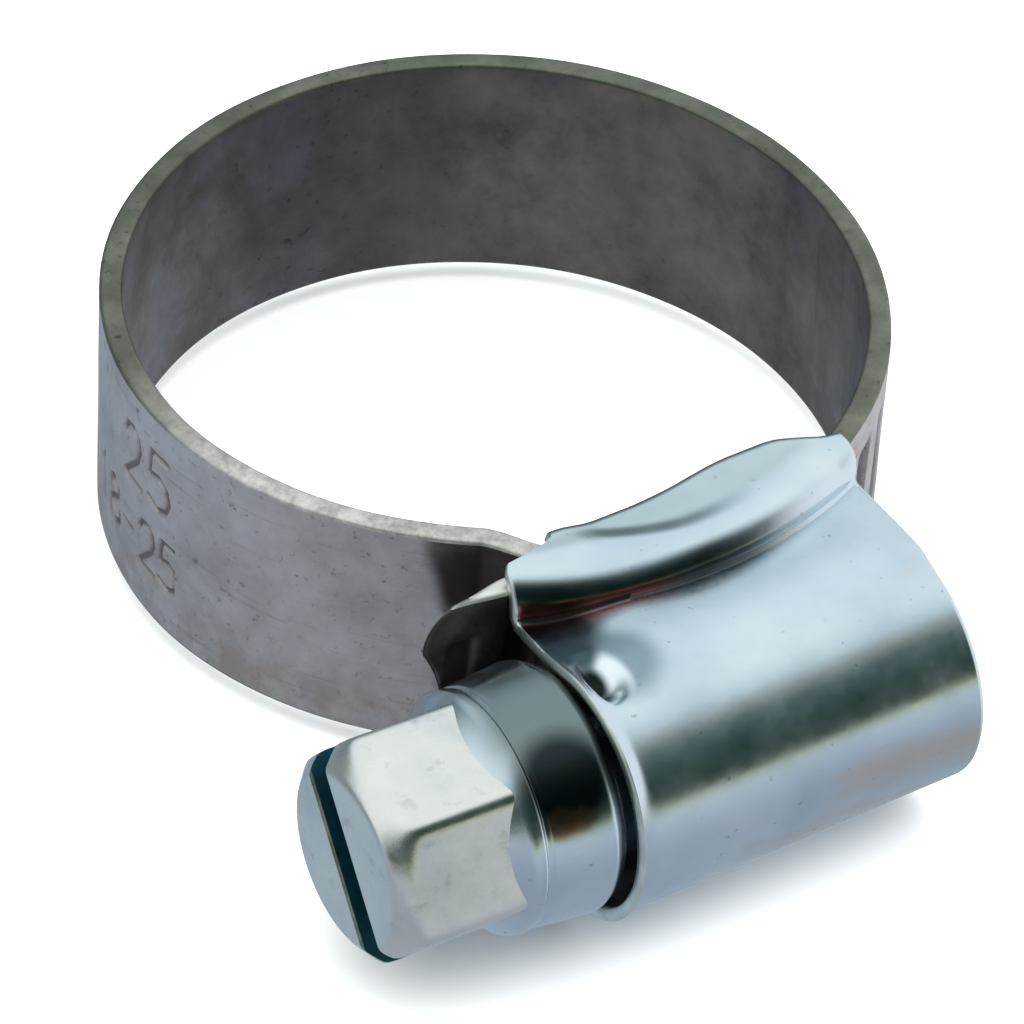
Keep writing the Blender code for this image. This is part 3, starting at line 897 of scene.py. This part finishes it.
def build_head(materials):
    """The hexagon with its turned crown, rounded corners and screwdriver slot."""
    face_radius = CROWN[0][1]
    stations = [(HEX_END, face_radius, 0.9), (HEX_END, face_radius, 0.97)]
    stations += [(HEX_END + x, radius, 1.0) for x, radius in CROWN]
    stations += [(x, 6.0, 1.0) for x in spaced(HEX_END + 1.3, HEX_BASE + 0.5, 0.25)]
    bm = bmesh.new()
    rings = []
    for x, crown, scale in stations:
        rings.append([round_vertex(bm, x, head_radius(angle, crown) * scale, angle)
                      for angle in full_turn(HEAD_SIDES)])
    join_closed(bm, rings)
    head = as_object("screw_head", bm)
    cut_away(head, slot_cutter())
    mark_slot(head)
    finish_screw_piece(head, materials, HEAD_SHARP_DEG)


def build_collar(material):
    """Everything turned on the screw behind its head, but for the thread."""
    bm = bmesh.new()
    rings = []
    for x, radius in rounded(TURNED, COLLAR_CORNER):
        rings.append([round_vertex(bm, x, radius, angle) for angle in full_turn(COLLAR_SIDES)])
    join_closed(bm, rings)
    collar = as_object("screw_collar_and_core", bm)
    finish_screw_piece(collar, [material], COLLAR_SHARP_DEG)
    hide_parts("worm_screw")


def thread_section(crest, fade):
    """The ridge's section, as (offset along the screw, radius)."""
    half = [(ROOT_HALF, WORM_ROOT - 0.3), (ROOT_HALF, WORM_ROOT - 0.02),
            (ROOT_HALF * 0.8 + CREST_HALF * 0.2, WORM_ROOT * 0.8 + crest * 0.2),
            (CREST_HALF + 0.06, crest - 0.06 * fade), (CREST_HALF - 0.04, crest)]
    return half + [(-offset, radius) for offset, radius in reversed(half)]


def build_thread(material):
    """The right-handed worm thread: one helical ridge, run out at both ends."""
    start, stop = WORM_START + ROOT_HALF, WORM_END - ROOT_HALF
    count = round((stop - start) / PITCH * THREAD_STEPS)
    bm = bmesh.new()
    loops = []
    for index in range(count + 1):
        x = start + PITCH * index / THREAD_STEPS
        angle = 2 * math.pi * (x - MESH_X) / PITCH
        fade = ramp(index, -4, RUN_OUT) * (1.0 - ramp(index, count - RUN_OUT, count + 4))
        crest = WORM_ROOT + (WORM_CREST - WORM_ROOT) * fade
        loops.append([round_vertex(bm, x + offset, radius, angle)
                      for offset, radius in thread_section(crest, fade)])
    join_closed(bm, loops)
    thread = as_object("screw_thread", bm)
    finish_screw_piece(thread, [material], THREAD_SHARP_DEG)


# ---- materials ----
# Patches of painted light and shade on the plating: x, y, z, radius, how much longer along Y, colour and how
# thick.
HOUSING_PAINTED_LIGHT = [
    # painted shade round the dimple
    (-6.7, -17.6, 4.2, 2.1, 1.0, (0.20, 0.29, 0.32), 0.75),
    # painted highlight on the dimple's right wall
    (-6.85, -18.0, 4.1, 0.62, 2.1, (0.92, 0.97, 1.0), 1.0),
    # painted shadow in the dimple's pocket
    (-7.6, -17.8, 3.8, 0.72, 1.2, (0.015, 0.022, 0.022), 1.0),
    # painted shade on the barrel between the dimple and the crease
    (-7.3, -15.3, 4.0, 1.9, 1.0, (0.05, 0.085, 0.10), 0.95),
    (-7.5, -16.6, 4.2, 1.0, 1.0, (0.05, 0.085, 0.10), 0.92),
]
COLLAR_PAINTED_REFLECTION = [
    # painted dark reflection on the collar's top
    (-9.8, -18.6, 4.3, 3.0, 1.3, (0.16, 0.205, 0.20), 0.9),
    # painted dark reflection on the collar's front
    (-10.3, -20.5, 3.2, 2.1, 1.0, (0.03, 0.04, 0.045), 1.0),
    # painted orange reflections within it
    (-10.9, -21.5, 2.4, 0.75, 1.0, (0.40, 0.19, 0.09), 0.7),
    (-10.2, -21.6, 2.35, 0.6, 1.0, (0.36, 0.17, 0.09), 0.6),
]

PLATEAU = 0.5        # share of a patch's radius at full strength

# Painted shadow and dark reflection of the housing on the strap's outer face, by the left mouth and on the
# tail: x, y, z and radius.
PAINTED_SHADOWS = [(-7.3, -11.4, 4.0, 2.5), (-6.9, -11.6, 2.4, 2.5),
          (-9.0, -13.4, 2.2, 3.0), (-8.4, -13.4, -1.5, 3.5)]
PAINTED_SHADOW_PLATEAU = 0.72

# Bands of painted light and shade along the skirt: distances from the seat's centre, reach from its left end,
# share and colour.
CREASE_PAINTED_LIGHT = [
    # painted shadow in the crease under the fold
    (14.9, 15.25, 15.62, 15.74, 9.5, 0.93, (0.03, 0.05, 0.055)),
    # painted red reflection along the crease
    (15.44, 15.50, 15.59, 15.64, 4.6, 0.9, (0.52, 0.15, 0.14)),
    # painted grey-green reflection on the flank
    (12.0, 12.5, 13.5, 14.1, 30.0, 0.45, (0.42, 0.52, 0.49)),
]
CREASE_START = (-6.6, -14.6, 4.2)


class Nodes:
    """Short hand for building the node tree of a material or a world."""

    def __init__(self, owner, space="Object"):
        owner.use_nodes = True
        self.owner = owner
        self.tree = owner.node_tree
        self.coords = self.add("TexCoord", {}).outputs[space]

    def add(self, kind, inputs, **settings):
        """A new node with its settings and its inputs."""
        node = self.tree.nodes.new("ShaderNode" + kind)
        for name, value in settings.items():
            setattr(node, name, value)
        self.feed(node, inputs)
        return node

    def feed(self, node, inputs):
        """Links each input that is given a socket, and sets the others."""
        for key, value in inputs.items():
            socket = node.inputs[key]
            if isinstance(value, bpy.types.NodeSocket):
                self.tree.links.new(value, socket)
            else:
                socket.default_value = (*value, 1.0) if socket.type == "RGBA" else value

    def mapped(self, scale):
        return self.add("Mapping", {"Vector": self.coords, "Scale": scale}).outputs["Vector"]

    def noise(self, scale, detail=4.0, rough=0.55, stretch=(1.0, 1.0, 1.0), distortion=0.0):
        inputs = {"Vector": self.mapped(stretch), "Scale": scale, "Detail": detail, "Roughness": rough,
                  "Distortion": distortion}
        return self.add("TexNoise", inputs).outputs["Fac"]

    def ramp(self, value, stops):
        node = self.add("ValToRGB", {"Fac": value})
        elements = node.color_ramp.elements
        while len(elements) < len(stops):
            elements.new(0.5)
        for element, (position, colour) in zip(elements, stops):
            element.position = position
            element.color = (*colour, 1.0)
        return node.outputs["Color"]

    def grey(self, value, low, high, dark, light):
        return self.ramp(value, [(low, (dark,) * 3), (high, (light,) * 3)])

    def mix(self, factor, first, second):
        return self.add("Mix", {0: factor, 6: first, 7: second}, data_type="RGBA").outputs[2]

    def math(self, operation, first, second):
        return self.add("Math", {0: first, 1: second}, operation=operation).outputs[0]

    def times(self, first, second):
        return self.math("MULTIPLY", first, second)

    def parts(self):
        """The coordinates' X, Y and Z."""
        return self.add("SeparateXYZ", {0: self.coords}).outputs

    def recess(self):
        """How deep the strap is pressed in here, 0 to 1."""
        return self.add("Attribute", {}, attribute_name="recess").outputs["Fac"]

    def span(self, value, low, high, interpolation="SMOOTHSTEP"):
        """0 at low and 1 at high.  Low may be the larger."""
        inputs = {"Value": value, "From Min": low, "From Max": high}
        return self.add("MapRange", inputs, interpolation_type=interpolation).outputs["Result"]

    def distance(self, point, scale):
        """Distance from a point, with each axis scaled."""
        scaled = [part * share for part, share in zip(point, scale)]
        inputs = {0: self.mapped(scale), 1: scaled}
        return self.add("VectorMath", inputs, operation="DISTANCE").outputs["Value"]

    def below(self, z, depth):
        """0 above a height, 1 at a depth below it."""
        return self.span(self.parts()["Z"], RING.z + z * MM, RING.z + (z - depth) * MM)

    def band(self, centre, steps):
        """1 between two distances in plan from a point, softened outside them."""
        away = self.distance(centre, (1.0, 1.0, 0.0))
        inside, low, high, outside = [step * MM for step in steps]
        return self.times(self.span(away, inside, low), self.span(away, outside, high))

    def near(self, spot, radius, plateau=PLATEAU, longer=1.0):
        """1 round a spot, falling to 0 at a distance from it that is longer along Y."""
        return self.span(self.distance(spot, (1.0, 1.0 / longer, 1.0)), radius, radius * plateau)

    def bump(self, height, strength, distance, before=None):
        """A bump over the whole surface, on top of the one before."""
        node = self.add("Bump", {"Height": height, "Strength": strength, "Distance": distance})
        if before:
            self.feed(node, {"Normal": before})
        return node.outputs["Normal"]

    def finish(self, **inputs):
        """Feeds the material's shader and gives the material."""
        named = {name.replace("_", " "): value for name, value in inputs.items()}
        self.feed(self.tree.nodes["Principled BSDF"], named)
        return self.owner


def make_zinc(name, painted_patches, painted_bands):
    """Bright zinc plate: blue-white, cloudy, with fine pits and warm streaks, and with patches and bands of
    painted light and shade.
    """
    n = Nodes(bpy.data.materials.new(name))
    clouds = n.noise(240.0, 4.0, 0.55)
    colour = n.ramp(clouds, [(0.3, (0.60, 0.69, 0.75)), (0.55, (0.70, 0.79, 0.84)),
                             (0.75, (0.78, 0.84, 0.85))])
    warm = n.grey(n.noise(210.0, 3.0, 0.5, (0.35, 1.0, 1.0), 0.6), 0.63, 0.72, 0.0, 0.5)
    colour = n.mix(warm, colour, (0.74, 0.58, 0.40))
    specks = n.grey(n.noise(2600.0, 2.0, 0.5), 0.70, 0.78, 0.0, 0.7)
    colour = n.mix(specks, colour, (0.34, 0.36, 0.40))
    # patches of painted shade, highlight and reflection
    for x, y, z, radius, longer, painted_colour, share in painted_patches:
        spot = n.times(n.near(to_frame(x, y, z), radius * MM, PLATEAU, longer), share)
        colour = n.mix(spot, colour, painted_colour)
    # bands of painted shade and reflection along the crease, broken up by streaky noise
    streaks = n.grey(n.noise(330.0, 4.0, 0.6, (0.4, 1.0, 1.0)), 0.35, 0.6, 0.7, 1.0)
    for *steps, reach, share, painted_colour in painted_bands:
        left = n.near(to_frame(*CREASE_START), reach * MM)
        patch = n.times(n.band(SEAT, steps), n.times(left, share))
        colour = n.mix(n.times(patch, streaks), colour, painted_colour)
    rough = n.grey(n.noise(600.0, 5.0, 0.7), 0.3, 0.75, 0.16, 0.30)
    fine = n.bump(n.noise(5200.0, 3.0, 0.6), 0.08, 0.00002)
    normal = n.bump(n.noise(420.0, 3.0, 0.5), 0.12, 0.00004, fine)
    return n.finish(Base_Color=colour, Metallic=1.0, Roughness=rough, Normal=normal)


def make_head_zinc():
    """The same plate on the hexagon: duller and creamier, rubbed by spanners."""
    n = Nodes(bpy.data.materials.new("zinc_plate_hexagon"))
    clouds = n.noise(330.0, 5.0, 0.62)
    colour = n.ramp(clouds, [(0.3, (0.70, 0.72, 0.70)), (0.5, (0.82, 0.81, 0.76)),
                             (0.72, (0.90, 0.87, 0.80))])
    smear = n.grey(n.noise(900.0, 4.0, 0.6), 0.60, 0.74, 0.0, 0.6)
    colour = n.mix(smear, colour, (0.42, 0.45, 0.47))
    rough = n.grey(n.noise(900.0, 5.0, 0.7), 0.3, 0.75, 0.20, 0.34)
    normal = n.bump(n.noise(1500.0, 4.0, 0.6), 0.22, 0.00003)
    return n.finish(Base_Color=colour, Metallic=1.0, Roughness=rough, Normal=normal)


def steel_base(name, dark, middle, light, stain_and_painted_shadow, stain_share):
    """Dull mill-finish strip, mottled and stained."""
    n = Nodes(bpy.data.materials.new(name))
    mottle = n.noise(300.0, 6.0, 0.66)
    colour = n.ramp(mottle, [(0.3, dark), (0.5, middle), (0.72, light)])
    blotch = n.grey(n.noise(120.0, 4.0, 0.6, distortion=1.0), 0.54, 0.68, 0.0, stain_share)
    colour = n.mix(blotch, colour, stain_and_painted_shadow)
    speck = n.grey(n.noise(2600.0, 4.0, 0.65), 0.60, 0.72, 0.0, 0.75)
    return n, n.mix(speck, colour, tuple(0.45 * part for part in dark))


def finish_steel(n, colour, rough_low, rough_high):
    rough = n.grey(n.noise(800.0, 5.0, 0.7), 0.3, 0.75, rough_low, rough_high)
    fine = n.bump(n.noise(6000.0, 4.0, 0.65), 0.2, 0.00002)
    normal = n.bump(n.noise(900.0, 4.0, 0.6), 0.22, 0.00003, fine)
    return n.finish(Base_Color=colour, Metallic=0.9, Roughness=rough, Normal=normal)


def make_outer_steel():
    """The strap's outer face: lavender-grey, with rust specks, rolling scratches, painted shade in its
    pressed recesses and a painted shadow by the left mouth.
    """
    n, colour = steel_base("strap_steel_outer", (0.40, 0.365, 0.365), (0.52, 0.48, 0.48),
                           (0.63, 0.60, 0.605), (0.36, 0.33, 0.33), 0.6)
    rust = n.grey(n.noise(1100.0, 5.0, 0.7), 0.64, 0.74, 0.0, 0.8)
    colour = n.mix(rust, colour, (0.26, 0.15, 0.14))
    scratch = n.grey(n.noise(500.0, 4.0, 0.6, (0.5, 0.5, 12.0)), 0.60, 0.74, 0.0, 0.45)
    colour = n.mix(scratch, colour, (0.22, 0.19, 0.18))
    # noise that breaks up the painted shadow
    ragged = n.grey(n.noise(420.0, 4.0, 0.6), 0.35, 0.62, 0.75, 1.0)
    rusty = n.times(n.below(-0.8, 3.2), n.grey(n.noise(700.0, 5.0, 0.65), 0.42, 0.62, 0.0, 0.8))
    colour = n.mix(rusty, colour, (0.40, 0.325, 0.29))
    # painted shade, darker where the strap is pressed in: in the threads' impressions and the stamped
    # numerals
    colour = n.mix(n.times(n.recess(), 0.75), colour, (0.13, 0.10, 0.10))
    # painted shadow and reflection of the housing, by the left mouth and on the tail
    for x, y, z, radius in PAINTED_SHADOWS:
        stain_and_painted_shadow = n.times(n.near(to_frame(x, y, z), radius * MM, PAINTED_SHADOW_PLATEAU), ragged)
        colour = n.mix(stain_and_painted_shadow, colour, (0.055, 0.042, 0.038))
    return finish_steel(n, colour, 0.40, 0.58)


def make_inner_steel():
    """The strap's inner face: darker, brown and blue-grey, with oil-like stains."""
    n, colour = steel_base("strap_steel_inner", (0.085, 0.083, 0.079), (0.123, 0.12, 0.116),
                           (0.175, 0.175, 0.182), (0.085, 0.075, 0.066), 0.85)
    bluish = n.grey(n.noise(170.0, 4.0, 0.6), 0.52, 0.70, 0.0, 0.7)
    colour = n.mix(bluish, colour, (0.145, 0.16, 0.19))
    patchy = n.grey(n.noise(260.0, 5.0, 0.65), 0.38, 0.62, 0.1, 0.8)
    brown = n.times(n.near(to_frame(11.0, 4.0, 0.0), 14.0 * MM), patchy)
    colour = n.mix(brown, colour, (0.29, 0.245, 0.21))
    wave = n.grey(n.noise(240.0, 3.0, 0.5, (1.0, 1.0, 0.12)), 0.5, 0.66, 0.0, 0.45)
    colour = n.mix(wave, colour, (0.10, 0.092, 0.085))
    return finish_steel(n, colour, 0.42, 0.60)


def make_slot_zinc():
    """The slot's walls and floor: dark blue-green, painted shade inside the slot."""
    n = Nodes(bpy.data.materials.new("zinc_plate_slot"))
    colour = n.ramp(n.noise(700.0, 4.0, 0.6), [(0.35, (0.13, 0.26, 0.30)), (0.65, (0.11, 0.42, 0.50))])
    return n.finish(Base_Color=colour, Metallic=1.0, Roughness=0.38)


def make_sheet_edge():
    """The housing sheet's cut edges: greyer and rougher than its faces."""
    n = Nodes(bpy.data.materials.new("zinc_plate_cut_edge"))
    colour = n.ramp(n.noise(900.0, 5.0, 0.6), [(0.3, (0.60, 0.65, 0.60)), (0.7, (0.90, 0.92, 0.86))])
    return n.finish(Base_Color=colour, Metallic=1.0, Roughness=0.36)


def make_edge_steel():
    """The strap's slit edges: greenish, with a mottled painted sheen that makes the front-left edges paler
    and a painted highlight by the left mouth.
    """
    n, colour = steel_base("strap_steel_edge", (0.095, 0.095, 0.075), (0.155, 0.158, 0.126),
                           (0.26, 0.265, 0.215), (0.10, 0.095, 0.08), 0.7)
    front_edge_sheen = n.ramp(n.noise(1500.0, 5.0, 0.7), [(0.35, (0.42, 0.40, 0.37)), (0.62, (0.82, 0.77, 0.73))])
    # painted sheen, mottled, on the edges towards the front left
    colour = n.mix(n.times(n.near(to_frame(-8.0, -9.5, 4.5), 13.0 * MM), 0.88), colour, front_edge_sheen)
    # painted highlight on the edge by the left mouth
    colour = n.mix(n.times(n.near(to_frame(-9.0, -13.0, 4.5), 3.0 * MM), 0.9), colour, (0.80, 0.77, 0.72))
    return finish_steel(n, colour, 0.36, 0.55)


# ---- stage ----
# What the clamp reflects, by the angle about X: 0 is the front, 90 overhead, 180 the back, -90 below.
ROOM = [
    (-180.0, (0.20, 0.25, 0.28)),
    (-135.0, (0.36, 0.47, 0.57)),
    (-90.0, (0.36, 0.41, 0.475)),
    (-46.0, (0.38, 0.42, 0.49)),
    (-28.0, (0.42, 0.46, 0.54)),
    (-6.0, (0.56, 0.63, 0.70)),
    (1.0, (0.62, 0.66, 0.44)),
    (4.0, (0.02, 0.04, 0.025)),
    (30.0, (0.022, 0.05, 0.043)),
    (48.0, (0.075, 0.125, 0.125)),
    (58.0, (0.34, 0.34, 0.30)),
    (68.0, (0.68, 0.79, 0.83)),
    (84.0, (0.92, 0.99, 1.0)),
    (138.0, (0.84, 0.93, 0.98)),
    (152.0, (0.58, 0.68, 0.72)),
    (166.0, (0.16, 0.21, 0.21)),
    (180.0, (0.20, 0.25, 0.28)),
]

# A window to the right, by how far a direction points along X.
WINDOW_FROM = 0.58
WINDOW_FULL = 0.78
WINDOW_COLOUR = (0.92, 0.95, 1.0)

# Name, direction, size in metres, power in watts and colour.
LAMPS = [
    ("key", (-0.35, -0.1, 1.0), 0.9, 6.0, (1.0, 0.99, 0.97)),
    ("fill", (0.6, -0.5, 1.0), 0.9, 4.5, (0.96, 0.98, 1.0)),
]
LAMP_DISTANCE = 0.6


def make_floor():
    look = Nodes(bpy.data.materials.new("floor_pale")).finish(Base_Color=(0.93, 0.93, 0.93), Roughness=0.9)
    bm = bmesh.new()
    bmesh.ops.create_grid(bm, x_segments=1, y_segments=1, size=1.5)
    mesh = bpy.data.meshes.new("floor")
    bm.to_mesh(mesh)
    bm.free()
    mesh.materials.append(look)
    floor = bpy.data.objects.new("floor", mesh)
    floor.location = (0.0, 0.0, CAD_LOW.z - 0.00002)
    floor.visible_glossy = False
    bpy.context.scene.collection.objects.link(floor)


def make_lamps():
    for name, direction, size, power, colour in LAMPS:
        light = bpy.data.lights.new(name, "AREA")
        light.size = size
        light.energy = power
        light.color = colour
        lamp = bpy.data.objects.new(name, light)
        towards = Vector(direction).normalized()
        lamp.location = to_frame(0.0, 0.0) + towards * LAMP_DISTANCE
        lamp.rotation_mode = "QUATERNION"
        lamp.rotation_quaternion = (-towards).to_track_quat("-Z", "Y")
        lamp.visible_glossy = False
        bpy.context.scene.collection.objects.link(lamp)


def make_room():
    """A soft studio: pale above and behind, a darker room in front, blue-grey below."""
    world = bpy.data.worlds.new("studio")
    bpy.context.scene.world = world
    n = Nodes(world, "Generated")
    parts = n.parts()
    angle = n.math("ARCTAN2", parts["Z"], n.times(parts["Y"], -1.0))
    share = n.span(angle, -math.pi, math.pi, "LINEAR")
    colours = n.ramp(share, [((degrees + 180.0) / 360.0, colour) for degrees, colour in ROOM])
    window = n.mix(n.span(parts["X"], WINDOW_FROM, WINDOW_FULL), colours, WINDOW_COLOUR)
    n.feed(n.tree.nodes["Background"], {"Color": window, "Strength": 1.0})


# The view, about a point near the ring's centre.
VIEW_TURN_DEG = -34.96
VIEW_ELEVATION_DEG = 40.94
VIEW_ROLL_DEG = 3.49
VIEW_DISTANCE = 224.8
VIEW_RIGHT = 1.144
VIEW_DOWN = 4.11
LENS = 230.1


def make_camera():
    around = Matrix.Rotation(math.radians(VIEW_TURN_DEG), 3, "Z")
    elevation = math.radians(VIEW_ELEVATION_DEG)
    right = around @ Vector((1.0, 0.0, 0.0))
    up = around @ Vector((0.0, math.sin(elevation), math.cos(elevation)))
    back = around @ Vector((0.0, -math.cos(elevation), math.sin(elevation)))
    aim = right * VIEW_RIGHT - up * VIEW_DOWN
    roll_angle = math.radians(VIEW_ROLL_DEG)
    level = right * math.cos(roll_angle) + up * math.sin(roll_angle)
    upright = up * math.cos(roll_angle) - right * math.sin(roll_angle)
    data = bpy.data.cameras.new("camera")
    data.lens = LENS
    data.sensor_width = 36.0
    data.clip_start = 0.005
    data.clip_end = 20.0
    camera = bpy.data.objects.new("camera", data)
    rotation = Matrix((level, upright, back)).transposed().to_4x4()
    camera.matrix_world = Matrix.Translation(RING + (aim + back * VIEW_DISTANCE) * MM) @ rotation
    bpy.context.scene.collection.objects.link(camera)
    bpy.context.scene.camera = camera


zinc = make_zinc("zinc_plate_housing", HOUSING_PAINTED_LIGHT, CREASE_PAINTED_LIGHT)
collar_zinc = make_zinc("zinc_plate_collar", COLLAR_PAINTED_REFLECTION, [])
head_zinc = make_head_zinc()
build_strap((make_outer_steel(), make_inner_steel(), make_edge_steel()))
build_housing((zinc, make_sheet_edge()))
build_head((head_zinc, make_slot_zinc()))
build_collar(collar_zinc)
build_thread(collar_zinc)
make_floor()
make_room()
make_lamps()
make_camera()
bpy.context.scene.view_settings.view_transform = "Standard"
bpy.context.scene.view_settings.look = "None"
